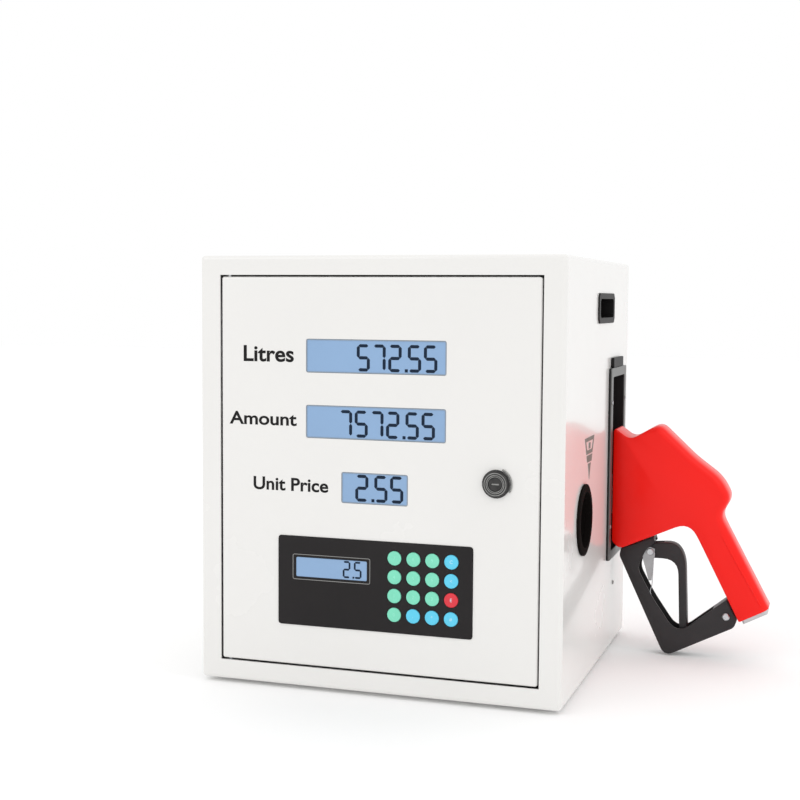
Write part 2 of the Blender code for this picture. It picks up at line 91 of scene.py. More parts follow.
def finishPiece(piece, name, body, material, smoothAngle=32):
    settle(piece)
    editAll(piece)
    bpy.ops.mesh.remove_doubles(threshold=weldLook["merge"])
    bpy.ops.mesh.dissolve_degenerate(threshold=weldLook["collapse"])
    leaveEdit()
    piece.name = name
    piece.data.name = name
    bpy.ops.object.shade_smooth_by_angle(angle=math.radians(smoothAngle))
    piece.data.materials.clear()
    piece.data.materials.append(material)
    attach(piece, body)
    return piece


def joinPieces(pieces):
    deselectAll()
    for piece in pieces:
        piece.select_set(True)
    bpy.context.view_layer.objects.active = pieces[0]
    if len(pieces) > 1:
        bpy.ops.object.join()
    return bpy.context.view_layer.objects.active


# A flat outline at one level: axis 0 reads its points as (y, z), axis 1 as (x, z). All in millimetres.
def flatPlate(points, level, axis):
    deselectAll()
    bpy.ops.mesh.primitive_circle_add(vertices=len(points), radius=0.01, fill_type="NGON")
    piece = bpy.context.object
    for vert, (a, b) in zip(piece.data.vertices, points):
        vert.co = Vector((level, a, b) if axis == 0 else (a, level, b)) * mm
    editAll(piece)
    return piece


# Pushes what is selected along the axis, turns the faces outward and leaves edit mode.
def thicken(depth, axis):
    push = [0, 0, 0]
    push[axis] = depth * mm
    bpy.ops.mesh.extrude_region_move(TRANSFORM_OT_translate={"value": push})
    bpy.ops.mesh.select_all(action="SELECT")
    bpy.ops.mesh.normals_make_consistent(inside=False)
    leaveEdit()


def outlinePiece(points, low, high, axis):
    piece = flatPlate(points, low, axis)
    thicken(high - low, axis)
    return piece


# A rim: the plate's face is inset and its middle taken out before it gets its thickness.
def rimPiece(points, low, high, axis, width):
    piece = flatPlate(points, low, axis)
    bpy.ops.mesh.inset(thickness=width * mm, use_even_offset=True)
    bpy.ops.mesh.delete(type="FACE")
    bpy.ops.mesh.select_all(action="SELECT")
    thicken(high - low, axis)
    return piece


def bevelPiece(piece, width, segments, angle=40):
    selectOnly(piece)
    change = piece.modifiers.new("edge", "BEVEL")
    change.width = width * mm
    change.segments = segments
    change.limit_method = "ANGLE"
    change.angle_limit = math.radians(angle)
    bpy.ops.object.modifier_apply(modifier=change.name)
    return piece


def roundedRect(lowA, lowB, highA, highB, radius, steps=4):
    points = []
    for a, b, start in ((highA - radius, highB - radius, 0), (lowA + radius, highB - radius, 90),
                        (lowA + radius, lowB + radius, 180), (highA - radius, lowB + radius, 270)):
        for k in range(steps + 1):
            turn = math.radians(start + 90 * k / steps)
            points.append((a + radius * math.cos(turn), b + radius * math.sin(turn)))
    return points


# Corners are (a, b, cut): each is rounded from "cut" before it to "cut" behind it. A cut of 0 stays sharp.
def roundCorners(corners, steps=6):
    points = []
    for k, (a, b, cut) in enumerate(corners):
        here = Vector((a, b))
        before = Vector(corners[k - 1][:2]) - here
        after = Vector(corners[(k + 1) % len(corners)][:2]) - here
        if not cut:
            points.append((a, b))
            continue
        start = here + before.normalized() * min(cut, before.length * 0.48)
        end = here + after.normalized() * min(cut, after.length * 0.48)
        for j in range(steps + 1):
            t = j / steps
            points.append(tuple(start * (1 - t) ** 2 + here * 2 * t * (1 - t) + end * t ** 2))
    return points


def carve(piece, cutter):
    selectOnly(piece)
    change = piece.modifiers.new("carve", "BOOLEAN")
    change.operation = "DIFFERENCE"
    change.object = cutter
    bpy.ops.object.modifier_apply(modifier=change.name)
    bpy.data.objects.remove(cutter)
    return piece


def rodPiece(start, end, radius, sides=16, bevel=0.0):
    deselectAll()
    a, b = Vector(start) * mm, Vector(end) * mm
    turn = Vector((0, 0, 1)).rotation_difference((b - a).normalized()).to_euler()
    bpy.ops.mesh.primitive_cylinder_add(vertices=sides, radius=radius * mm, depth=(b - a).length,
                                        location=(a + b) / 2, rotation=turn)
    piece = bpy.context.object
    settle(piece)
    if bevel:
        bevelPiece(piece, bevel, 2)
    return piece


def tubePiece(points, radius, resolution=8):
    deselectAll()
    bpy.ops.curve.primitive_bezier_curve_add()
    piece = bpy.context.object
    spline = piece.data.splines[0]
    spline.bezier_points.add(len(points) - 2)
    for knot, point in zip(spline.bezier_points, points):
        knot.co = Vector(point) * mm
        knot.handle_left_type = knot.handle_right_type = "AUTO"
    piece.data.bevel_depth = radius * mm
    piece.data.bevel_resolution = 3
    piece.data.resolution_u = piece.data.render_resolution_u = resolution
    piece.data.use_fill_caps = True
    selectOnly(piece)
    bpy.ops.object.convert(target="MESH")
    return bpy.context.object


# A ring whose place is in metres and whose radii are in millimetres.
def torusPiece(place, turn, major, minor, majorSteps, minorSteps):
    deselectAll()
    bpy.ops.mesh.primitive_torus_add(major_radius=major * mm, minor_radius=minor * mm,
                                     major_segments=majorSteps, minor_segments=minorSteps,
                                     rotation=turn, location=place)
    piece = bpy.context.object
    settle(piece)
    return piece


# Upright letters that face the front.
def textPiece(words, size, thick, offset=0.0, align=None):
    deselectAll()
    bpy.ops.object.text_add(rotation=(math.radians(90), 0, 0))
    piece = bpy.context.object
    piece.data.body = words
    piece.data.size = size * mm
    piece.data.offset = offset * mm
    piece.data.extrude = thick * mm
    if align:
        piece.data.align_x = piece.data.align_y = align
    selectOnly(piece)
    bpy.ops.object.convert(target="MESH")
    return bpy.context.object


# Leaves the piece in object mode with no edge selected, so that single edges can be picked.
def readyEdges(piece):
    editAll(piece)
    bpy.ops.mesh.select_all(action="DESELECT")
    bpy.ops.mesh.select_mode(type="EDGE")
    leaveEdit()


# A node's corners in millimetres.
def boxOf(node):
    return [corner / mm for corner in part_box(node)]


# Materials

def makeFinish(name, base, rough, metal=0.0, vary=0.04, varyScale=9.0, roughVary=0.06, bump=0.05,
               bumpScale=900.0, bumpDepth=0.00012, coat=0.0, stretch=(1, 1, 1), glow=0.0, sheen=0.5):
    material = bpy.data.materials.new(name)
    material.use_nodes = True
    tree = material.node_tree
    shader = tree.nodes["Principled BSDF"]
    place = tree.nodes.new("ShaderNodeTexCoord")
    mapping = tree.nodes.new("ShaderNodeMapping")
    mapping.inputs["Scale"].default_value = stretch
    tree.links.new(place.outputs["Object"], mapping.inputs["Vector"])
    clouds = tree.nodes.new("ShaderNodeTexNoise")
    clouds.inputs["Scale"].default_value = varyScale
    clouds.inputs["Detail"].default_value = 5
    tree.links.new(mapping.outputs["Vector"], clouds.inputs["Vector"])
    ramp = tree.nodes.new("ShaderNodeValToRGB")
    ramp.color_ramp.elements[0].position = 0.2
    ramp.color_ramp.elements[1].position = 0.8
    ramp.color_ramp.elements[0].color = [c * (1 - vary) for c in base] + [1]
    ramp.color_ramp.elements[1].color = [min(1, c * (1 + vary)) for c in base] + [1]
    tree.links.new(clouds.outputs["Fac"], ramp.inputs["Fac"])
    tree.links.new(ramp.outputs["Color"], shader.inputs["Base Color"])
    spread = tree.nodes.new("ShaderNodeMapRange")
    spread.inputs["To Min"].default_value = max(0.02, rough - roughVary)
    spread.inputs["To Max"].default_value = min(1, rough + roughVary)
    tree.links.new(clouds.outputs["Fac"], spread.inputs["Value"])
    tree.links.new(spread.outputs["Result"], shader.inputs["Roughness"])
    grain = tree.nodes.new("ShaderNodeTexNoise")
    grain.inputs["Scale"].default_value = bumpScale
    grain.inputs["Detail"].default_value = 3
    tree.links.new(mapping.outputs["Vector"], grain.inputs["Vector"])
    relief = tree.nodes.new("ShaderNodeBump")
    relief.inputs["Strength"].default_value = bump
    relief.inputs["Distance"].default_value = bumpDepth
    tree.links.new(grain.outputs["Fac"], relief.inputs["Height"])
    tree.links.new(relief.outputs["Normal"], shader.inputs["Normal"])
    shader.inputs["Metallic"].default_value = metal
    shader.inputs["Specular IOR Level"].default_value = sheen
    shader.inputs["Coat Weight"].default_value = coat
    shader.inputs["Coat Roughness"].default_value = 0.08
    if glow:
        tree.links.new(ramp.outputs["Color"], shader.inputs["Emission Color"])
        shader.inputs["Emission Strength"].default_value = glow
    return material


finishes = {
    "powderCoat": makeFinish("powderCoat", (0.80, 0.79, 0.77), 0.26, vary=0.012, roughVary=0.04, bump=0.22,
                             bumpScale=620, bumpDepth=0.00008, coat=0.5, sheen=0.4),
    "blackPlastic": makeFinish("blackPlastic", (0.010, 0.009, 0.0095), 0.5, vary=0.25, bump=0.4,
                               bumpScale=1500,
                               sheen=0.2),
    "overlayBlack": makeFinish("overlayBlack", (0.014, 0.012, 0.0125), 0.36, vary=0.2, bump=0.15,
                               bumpScale=1300,
                               sheen=0.2),
    "darkRubber": makeFinish("darkRubber", (0.0075, 0.006, 0.0055), 0.85, vary=0.3, bump=0.5,
                             bumpScale=800, sheen=0.03),
    "greyPaint": makeFinish("greyPaint", (0.12, 0.12, 0.117), 0.38, metal=0.35, vary=0.05, bump=0.2,
                            bumpScale=700),
    "linerBlack": makeFinish("linerBlack", (0.016, 0.015, 0.015), 0.62, vary=0.3, bump=0.4, bumpScale=900,
                             sheen=0.2),
    "zincSteel": makeFinish("zincSteel", (0.56, 0.57, 0.59), 0.28, metal=1.0, vary=0.08, varyScale=60,
                            bump=0.3,
                            bumpScale=420, stretch=(1, 1, 6)),
    "latchSteel": makeFinish("latchSteel", (0.40, 0.40, 0.41), 0.34, metal=1.0, vary=0.12, varyScale=90,
                             bump=0.4,
                             bumpScale=500),
    "gunMetal": makeFinish("gunMetal", (0.055, 0.054, 0.053), 0.36, metal=0.85, vary=0.35, varyScale=160,
                           bump=0.5,
                           bumpScale=500),
    "ringMetal": makeFinish("ringMetal", (0.30, 0.30, 0.29), 0.3, metal=0.95, vary=0.3, varyScale=200,
                            bump=0.4,
                            bumpScale=500),
    "guardBlack": makeFinish("guardBlack", (0.028, 0.0245, 0.026), 0.45, vary=0.2, varyScale=30, bump=0.5,
                             bumpScale=1100, sheen=0.3),
    "nozzleRed": makeFinish("nozzleRed", (0.93, 0.008, 0.004), 0.3, vary=0.03, varyScale=11, roughVary=0.05,
                            bump=0.3, bumpScale=300, bumpDepth=0.00015, coat=0.06, sheen=0.22),
    "castAluminium": makeFinish("castAluminium", (0.58, 0.58, 0.59), 0.42, metal=0.95, vary=0.08,
                                varyScale=50,
                                bump=0.6, bumpScale=900),
    "castIron": makeFinish("castIron", (0.13, 0.14, 0.15), 0.62, metal=0.5, vary=0.25, varyScale=40, bump=0.9,
                           bumpScale=600, bumpDepth=0.0003),
    "motorBlue": makeFinish("motorBlue", (0.03, 0.09, 0.2), 0.45, vary=0.12, bump=0.5, bumpScale=500),
    "pipeSteel": makeFinish("pipeSteel", (0.42, 0.43, 0.45), 0.35, metal=0.95, vary=0.12, varyScale=45,
                            bump=0.4,
                            bumpScale=350, stretch=(1, 1, 4)),
    "brassGear": makeFinish("brassGear", (0.62, 0.44, 0.17), 0.3, metal=1.0, vary=0.1, varyScale=60, bump=0.4,
                            bumpScale=500),
    "boardGreen": makeFinish("boardGreen", (0.015, 0.12, 0.045), 0.4, vary=0.25, varyScale=220, bump=0.5,
                             bumpScale=300, coat=0.3),
    "lcdBlue": makeFinish("lcdBlue", (0.235, 0.375, 0.585), 0.24, vary=0.04, varyScale=12, bump=0.05,
                          coat=0.1,
                          glow=0.06),
    "lcdInk": makeFinish("lcdInk", (0.003, 0.014, 0.036), 0.5, vary=0.2, varyScale=90, bump=0.05, sheen=0.2),
    "lcdRim": makeFinish("lcdRim", (0.26, 0.33, 0.42), 0.4, vary=0.08, bump=0.1),
    "printBlack": makeFinish("printBlack", (0.006, 0.006, 0.006), 0.55, vary=0.25, varyScale=80, bump=0.1,
                             sheen=0.2),
    "printGrey": makeFinish("printGrey", (0.19, 0.18, 0.16), 0.6, vary=0.15, varyScale=80, bump=0.1,
                            sheen=0.3),
    "outlineGrey": makeFinish("outlineGrey", (0.28, 0.28, 0.27), 0.45, vary=0.1, varyScale=80, bump=0.1),
    "keyGreen": makeFinish("keyGreen", (0.20, 0.71, 0.50), 0.36, vary=0.05, varyScale=120, bump=0.2,
                           coat=0.1),
    "keyBlue": makeFinish("keyBlue", (0.10, 0.60, 0.84), 0.36, vary=0.05, varyScale=120, bump=0.2, coat=0.1),
    "keyRed": makeFinish("keyRed", (0.72, 0.022, 0.04), 0.36, vary=0.08, varyScale=120, bump=0.2, coat=0.1),
    "markGreen": makeFinish("markGreen", (0.30, 0.80, 0.62), 0.5, vary=0.1, varyScale=90, bump=0.1),
    "markPale": makeFinish("markPale", (0.55, 0.78, 0.88), 0.5, vary=0.1, varyScale=90, bump=0.1),
    "wireBlack": makeFinish("wireBlack", (0.02, 0.02, 0.02), 0.45, vary=0.1, bump=0.2),
}

nodeFinish = {
    "powderCoat": ["cabinet_shell", "rear_panel", "door_panel"],
    "blackPlastic": ["boot_switch_cover", "handle_cup_right", "handle_cup_left", "control_box", "lift_lever"],
    "overlayBlack": ["keypad_panel"],
    "darkRubber": ["hose_grommet", "foot_front_left", "foot_front_right", "foot_rear_left",
                   "foot_rear_right"],
    "greyPaint": ["boot_bezel"],
    "linerBlack": ["boot_liner"],
    "zincSteel": ["lock_cam", "hinge_pin_upper", "hinge_pin_lower", "trigger_pin", "guard_screw",
                  "motor_shaft"],
    "latchSteel": ["hold_latch"],
    "gunMetal": ["lock_housing", "lock_plug"],
    "guardBlack": ["trigger_guard", "trigger_lever"],
    "nozzleRed": ["nozzle_cover"],
    "castAluminium": ["nozzle_body", "nozzle_spout", "meter_housing"],
    "castIron": ["pump_housing"],
    "motorBlue": ["motor_body"],
    "pipeSteel": ["suction_pipe", "link_pipe", "outlet_pipe"],
    "brassGear": ["meter_gear_a", "meter_gear_b"],
    "boardGreen": ["display_board"],
    "lcdBlue": ["lcd_litres", "lcd_amount", "lcd_price", "lcd_preset"],
}


def keyFinish(row, column):
    if (row, column) == (3, 4):
        return "keyRed"
    return "keyBlue" if column == 4 or (row == 4 and column > 1) else "keyGreen"


for row in range(1, 5):
    for column in range(1, 5):
        nodeFinish.setdefault(keyFinish(row, column), []).append("key_%d_%d" % (row, column))
for finish, names in nodeFinish.items():
    for name in names:
        data = nodes[name].data
        data.materials.clear()
        data.materials.append(finishes[finish])
print("finishes on the frame's own parts")


# Displays: seven-bar numbers and thin rims

digitFaces = {"litres": "572.55", "amount": "7572.55", "price": "2.55", "preset": "2.5"}
# height and width of a digit, step between digits, bar width, room below, gap at the point
bigDigit = {"tall": 25.0, "wide": 11.2, "pitch": 17.35, "stroke": 3.3, "lift": 3.7, "pointGap": 3.8}
smallDigit = {"tall": 16.2, "wide": 6.6, "pitch": 10.6, "stroke": 2.0, "lift": 2.7, "pointGap": 1.9}
endMargins = {"litres": 11.2, "amount": 13.2, "price": 6.4, "preset": 6.8}
faceGap = 0.02   # between a face and what lies on it
numberProud = 0.12
barEndGap = 0.14   # between two bars that meet at a corner
rimLook = {"round": 1.8, "width": 1.0, "proud": 0.35}
presetLook = {"side": 3.9, "below": 3.2, "above": 3.4, "round": 2.0, "proud": 0.18, "width": 0.6}
barsOf = {"0": "abcdef", "1": "bc", "2": "abged", "3": "abgcd", "4": "fgbc", "5": "afgcd", "6": "afgedc",
          "7": "abc", "8": "abcdefg", "9": "abcdfg"}


def barOutline(start, end, thick):
    along = (Vector(end) - Vector(start)).normalized()
    side = Vector((-along.y, along.x)) * thick / 2
    a, b = Vector(start) + along * barEndGap, Vector(end) - along * barEndGap
    tip = along * thick / 2
    return [tuple(p) for p in (a, a + tip + side, b - tip + side, b, b - tip - side, a + tip - side)]


def digitBars(left, base, width, height, thick, character):
    right, top, middle = left + width, base + height, base + height / 2
    ends = {"a": ((left, top), (right, top)), "b": ((right, top), (right, middle)),
            "c": ((right, middle), (right, base)), "d": ((left, base), (right, base)),
            "e": ((left, base), (left, middle)), "f": ((left, middle), (left, top)),
            "g": ((left, middle), (right, middle))}
    return [barOutline(*ends[bar], thick) for bar in barsOf[character]]


def makeNumber(name, number, look):
    low, high = boxOf("lcd_" + name)
    thick = look["stroke"]
    base = low.z + look["lift"]
    left = high.x - endMargins[name] - look["wide"]
    front, back = low.y - numberProud, low.y - faceGap
    bars = []
    for character in reversed(number):
        if character == ".":
            spot = left + look["pitch"] - look["pointGap"] - thick * 0.3
            under, over = base - thick / 2, base + thick / 2
            dot = [(spot, under), (spot + thick, under), (spot + thick, over), (spot, over)]
            bars.append(outlinePiece(dot, front, back, 1))
            left -= look["pointGap"]
            continue
        for outline in digitBars(left, base, look["wide"], look["tall"], thick, character):
            bars.append(outlinePiece(outline, front, back, 1))
        left -= look["pitch"]
    finishPiece(joinPieces(bars), "number_" + name, "door", finishes["lcdInk"])


def makeRim(name):
    low, high = boxOf("lcd_" + name)
    outline = roundedRect(low.x, low.z, high.x, high.z, rimLook["round"])
    rim = rimPiece(outline, low.y - rimLook["proud"], low.y - faceGap, 1, rimLook["width"])
    finishPiece(rim, "rim_" + name, "door", finishes["lcdRim"])


for name, number in digitFaces.items():
    makeNumber(name, number, smallDigit if name == "preset" else bigDigit)
    if name != "preset":
        makeRim(name)
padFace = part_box("keypad_panel")[0].y / mm
presetLow, presetHigh = boxOf("lcd_preset")
presetCorners = roundedRect(presetLow.x - presetLook["side"], presetLow.z - presetLook["below"],
                            presetHigh.x + presetLook["side"], presetHigh.z + presetLook["above"],
                            presetLook["round"])
presetLine = rimPiece(presetCorners, padFace - presetLook["proud"], padFace - faceGap, 1, presetLook["width"])
finishPiece(presetLine, "preset_outline", "door", finishes["outlineGrey"])
print("displays and numbers")

# Printed words: right end and baseline of each, its letter height and its width
wordPlaces = {"Litres": (-91.4, 348.2, 16.6, 58.0), "Amount": (-88.0, 280.4, 13.6, 78.0),
              "Unit Price": (-52.0, 210.9, 13.6, 86.0)}
wordLook = {"size": 10, "thick": 0.05, "bolder": 0.22, "proud": 0.06}


def printWord(word, right, base, tall, wide):
    piece = textPiece(word, wordLook["size"], wordLook["thick"], wordLook["bolder"])
    settle(piece)
    xs = [v.co.x for v in piece.data.vertices]
    tops = [v.co.z for v in piece.data.vertices]
    rightEnd = max(xs)
    across = wide * mm / (rightEnd - min(xs))
    up = tall * mm / max(tops)
    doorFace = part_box("door_panel")[0].y
    for vert in piece.data.vertices:
        vert.co.x = (vert.co.x - rightEnd) * across + right * mm
        vert.co.z = vert.co.z * up + base * mm
        vert.co.y += doorFace - wordLook["proud"] * mm
    pieceName = "word_" + word.lower().replace(" ", "_")
    finishPiece(piece, pieceName, "door", finishes["printBlack"])


for word, place in wordPlaces.items():
    printWord(word, *place)
print("printed words")

# Keys: domed caps with small printed marks, each on its own key
keyLook = {"sides": 36, "round": 0.7, "markTall": 3.6, "markScale": 1.4, "markDeep": 0.06, "markLift": 0.01}
keyMarks = ("789C", "456<", "123E", "0.*#")


def keyCap(row, column):
    node = "key_%d_%d" % (row, column)
    low, high = boxOf(node)
    middle = (low + high) / 2
    cap = rodPiece((middle.x, high.y, middle.z), (middle.x, low.y + faceGap, middle.z), (high.x - low.x) / 2,
                   keyLook["sides"])
    bevelPiece(cap, keyLook["round"], 3)
    color = keyFinish(row, column)
    finishPiece(cap, "cap_%d_%d" % (row, column), node, finishes[color], 40)
    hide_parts(node)
    mark = textPiece(keyMarks[row - 1][column - 1], keyLook["markTall"] * keyLook["markScale"],
                     keyLook["markDeep"] / 2, align="CENTER")
    mark.location = (middle.x * mm, (low.y - keyLook["markLift"]) * mm, middle.z * mm)
    finishPiece(mark, "mark_%d_%d" % (row, column), node,
                finishes["markGreen" if color == "keyGreen" else "markPale"])


for row in range(1, 5):
    for column in range(1, 5):
        keyCap(row, column)
print("keys")

# Lock: rings on the face, a painted highlight on the right half of the housing (a lighter metal arc standing
# for the lit side of the housing) and a shutter in the key slot
lockLook = {"rings": ((11.4, 0.5), (9.3, 0.45), (7.8, 0.35)), "ringSink": 0.25}
litEdgeLook = {"radius": 16.1, "thick": 0.9, "front": -191.0, "start": -30, "sweep": 96, "steps": 12}
shutterLook = {"halfWide": 3.9, "halfTall": 0.75, "round": 0.5, "front": 1.2, "back": 2.0}
lockLow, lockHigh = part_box("lock_housing")
lockSpot = ((lockLow + lockHigh) / 2) / mm
lockFace = lockLow.y / mm
ringPlace = (lockSpot.x * mm, (lockFace + lockLook["ringSink"]) * mm, lockSpot.z * mm)
rings = [torusPiece(ringPlace, (math.radians(90), 0, 0), radius, thick, 48, 8)
         for radius, thick in lockLook["rings"]]
finishPiece(joinPieces(rings), "lock_face_rings", "door", finishes["ringMetal"])
# painted highlight: a lighter metal arc around the right of the housing, where its side catches the light
litEdge = []
for k in range(litEdgeLook["steps"] + 1):
    turn = math.radians(litEdgeLook["start"] + litEdgeLook["sweep"] * k / litEdgeLook["steps"])
    litEdge.append((lockSpot.x + litEdgeLook["radius"] * math.cos(turn), litEdgeLook["front"],
                lockSpot.z + litEdgeLook["radius"] * math.sin(turn)))
finishPiece(tubePiece(litEdge, litEdgeLook["thick"], 4), "lock_lit_edge_highlight", "door", finishes["ringMetal"], 60)
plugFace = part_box("lock_plug")[0].y / mm
slotCorners = roundedRect(-shutterLook["halfWide"], -shutterLook["halfTall"], shutterLook["halfWide"],
                          shutterLook["halfTall"], shutterLook["round"], 2)
shutter = outlinePiece(slotCorners, plugFace + shutterLook["front"], plugFace + shutterLook["back"], 1)
shutter.data.transform(Matrix.Translation(Vector((lockSpot.x, 0, lockSpot.z)) * mm))
finishPiece(shutter, "lock_slot_shutter", "lock", finishes["ringMetal"])
print("lock face")

# Hose port: painted shade inside the port, a dark rubber-coloured tube that runs in behind the grommet and
# narrows to a closed end. The real port has no such tube; it stands for the shadow in the opening and hides
# the bright inside of the cabinet.
portShadeLook = {"y": -86.0, "z": 180.5, "radius": 30.4, "wall": 1.6, "start": 196.0, "end": 150.0, "sides": 56,
            "taper": 0.86, "tail": 12.0}
shadeTubeMiddle = ((portShadeLook["start"] + portShadeLook["end"]) / 2 * mm, portShadeLook["y"] * mm, portShadeLook["z"] * mm)
deselectAll()
bpy.ops.mesh.primitive_cylinder_add(vertices=portShadeLook["sides"], radius=portShadeLook["radius"] * mm,
                                    end_fill_type="NOTHING", location=shadeTubeMiddle,
                                    depth=(portShadeLook["start"] - portShadeLook["end"]) * mm,
                                    rotation=(0, math.radians(90), 0))
shadeTube = bpy.context.object
settle(shadeTube)
readyEdges(shadeTube)
for edge in shadeTube.data.edges:
    ends = [shadeTube.data.vertices[v].co.x for v in edge.vertices]
    edge.select = max(ends) < (portShadeLook["end"] + 1) * mm
bpy.ops.object.mode_set(mode="EDIT")
bpy.ops.mesh.extrude_region_move(TRANSFORM_OT_translate={"value": (0, 0, 0)})
bpy.ops.transform.resize(value=(1, portShadeLook["taper"], portShadeLook["taper"]),
                         center_override=(portShadeLook["end"] * mm, portShadeLook["y"] * mm, portShadeLook["z"] * mm))
bpy.ops.mesh.extrude_region_move(TRANSFORM_OT_translate={"value": (-portShadeLook["tail"] * mm, 0, 0)})
bpy.ops.mesh.edge_face_add()
leaveEdit()
wall = shadeTube.modifiers.new("wall", "SOLIDIFY")
wall.thickness = portShadeLook["wall"] * mm
wall.offset = -1
selectOnly(shadeTube)
bpy.ops.object.modifier_apply(modifier=wall.name)
# painted shade: this dark closed tube stands for the shadow inside the hose port
finishPiece(shadeTube, "hose_port_shade_tube", "cabinet", finishes["darkRubber"])
print("hose port sleeve")

# Right wall: pointer sign over the hose port
# Each row of it is half its width above and below, then its top and its foot.
wallFace = 200.0
signLook = {"middle": -57.0, "front": 0.3, "back": 0.05, "band": (27, 17, 267, 249), "bandWidth": 4.2,
            "window": (5, 5, 261, 254.5), "bar": (16, 12.5, 247.4, 240), "tip": (8, 0, 238.4, 220.5)}


def signCorners(row):
    upper, lower, top, foot = signLook[row]
    middle = signLook["middle"]
    left = [(middle - upper, top), (middle - lower, foot)]
    right = [(middle + lower, foot), (middle + upper, top)]
    return left + (right if lower else right[1:])


signDepth = (wallFace + signLook["back"], wallFace + signLook["front"], 0)
signParts = [rimPiece(signCorners("band"), *signDepth, signLook["bandWidth"])]
signParts += [outlinePiece(signCorners(row), *signDepth) for row in ("window", "bar", "tip")]
finishPiece(joinPieces(signParts), "hose_port_sign", "cabinet", finishes["printGrey"])

# Screws: factors of a head's radius and height for its stepped crown and its recess
screwLook = {"sides": 20, "crownIn": 0.35, "crownUp": 0.22, "recessIn": 0.3, "recessDown": 0.5}
wallScrew = {"y": 109, "z": 75, "radius": 2.3, "tall": 0.9}
rearScrewLook = {"columns": (-190, 0, 190), "rows": (10, 230, 450), "leftOut": (0, 230)}
bezelScrewLook = {"columns": (63.4, 153.6), "rows": (150, 296), "radius": 2.4, "tall": 0.9}


# One pan screw with a round recess, its head facing along a direction.
def panScrew(spot, facing, radius=3.0, tall=1.4):
    direction = Vector(facing)
    deselectAll()
    turn = Vector((0, 0, 1)).rotation_difference(direction).to_euler()
    bpy.ops.mesh.primitive_cylinder_add(vertices=screwLook["sides"], radius=radius * mm, depth=tall * mm,
                                        location=(Vector(spot) + direction * tall / 2) * mm, rotation=turn)
    head = bpy.context.object
    settle(head)
    editAll(head)
    bpy.ops.mesh.select_all(action="DESELECT")
    leaveEdit()
    for face in head.data.polygons:
        face.select = face.normal.dot(direction) > 0.9
    bpy.ops.object.mode_set(mode="EDIT")
    bpy.ops.mesh.inset(thickness=radius * screwLook["crownIn"] * mm)
    bpy.ops.transform.translate(value=direction * tall * screwLook["crownUp"] * mm)
    bpy.ops.mesh.inset(thickness=radius * screwLook["recessIn"] * mm)
    bpy.ops.transform.translate(value=-direction * tall * screwLook["recessDown"] * mm)
    leaveEdit()
    return head


wallHead = panScrew((wallFace + faceGap, wallScrew["y"], wallScrew["z"]), (1, 0, 0), wallScrew["radius"],
                    wallScrew["tall"])
finishPiece(wallHead, "wall_screw", "cabinet", finishes["ringMetal"])
rearFace = 190.0
rearScrews = [panScrew((x, rearFace + faceGap, z), (0, 1, 0)) for x in rearScrewLook["columns"]
              for z in rearScrewLook["rows"] if (x, z) != rearScrewLook["leftOut"]]
finishPiece(joinPieces(rearScrews), "rear_screws", "cabinet", finishes["zincSteel"])
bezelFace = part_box("boot_bezel")[1].x / mm
bezelScrews = [panScrew((bezelFace + faceGap, y, z), (1, 0, 0), bezelScrewLook["radius"],
                        bezelScrewLook["tall"])
               for y in bezelScrewLook["columns"] for z in bezelScrewLook["rows"]]
finishPiece(joinPieces(bezelScrews), "bezel_screws", "cabinet", finishes["zincSteel"])
print("signs and screws")

# Nozzle jacket: vinyl with chamfered rims, a narrowed grip and a crease along each side of it
coverLook = {"half": 23.6, "chamfer": 8.0, "round": 2.2, "planeY": 104.0, "weld": 0.05}
# rims past this slanting line get the wide chamfer
chamferLine = {"x": 250, "z": 60, "alongX": 0.85, "alongZ": 0.5, "reach": 100}
gripLook = {"down": (0.465, 0, -0.885), "topX": 316, "topZ": 150, "pinch": 0.84, "pinchStart": -18,
            "pinchEnd": 16, "cuts": (-18, -11, -5, 1, 8, 16)}
creaseLook = {"radius": 0.9, "path": ((329, 0.4, 144.4), (352, 0.3, 104), (374.6, 0.4, 64.6))}   # x, sink, z
coverCorners = [(202.5, 130.2, 3), (211.6, 121.4, 6), (293.2, 157.8, 18), (351.4, 43.2, 2), (384.6, 60.6, 0),
                (328, 166, 9), (339.6, 187.2, 9), (327.6, 209.6, 12), (297, 232.2, 9), (255.6, 271, 9),
                (222.5, 251.6, 9), (205.2, 264.4, 3), (202.5, 261.6, 1)]
nozzleMid = coverLook["planeY"]
cover = outlinePiece(roundCorners(coverCorners), nozzleMid - coverLook["half"],
                     nozzleMid + coverLook["half"], 1)
# The rims along the hump and the back of the grip get a wide chamfer, the others a small round.
readyEdges(cover)
for edge in cover.data.edges:
    a, b = [cover.data.vertices[v].co / mm for v in edge.vertices]
    mid = (a + b) / 2
    past = ((mid.x - chamferLine["x"]) * chamferLine["alongX"]
            + (mid.z - chamferLine["z"]) * chamferLine["alongZ"])
    edge.select = abs(a.y - b.y) < 0.1 and past > chamferLine["reach"]
bpy.ops.object.mode_set(mode="EDIT")
bpy.ops.mesh.bevel(offset=coverLook["chamfer"] * mm, segments=3, profile=0.42, affect="EDGES")
bpy.ops.mesh.select_mode(type="VERT")
leaveEdit()
bevelPiece(cover, coverLook["round"], 3, angle=62)
editAll(cover)
bpy.ops.mesh.remove_doubles(threshold=coverLook["weld"] * mm)
leaveEdit()


def easeStep(value, start, end):
    t = min(1, max(0, (value - start) / (end - start)))
    return t * t * (3 - 2 * t)


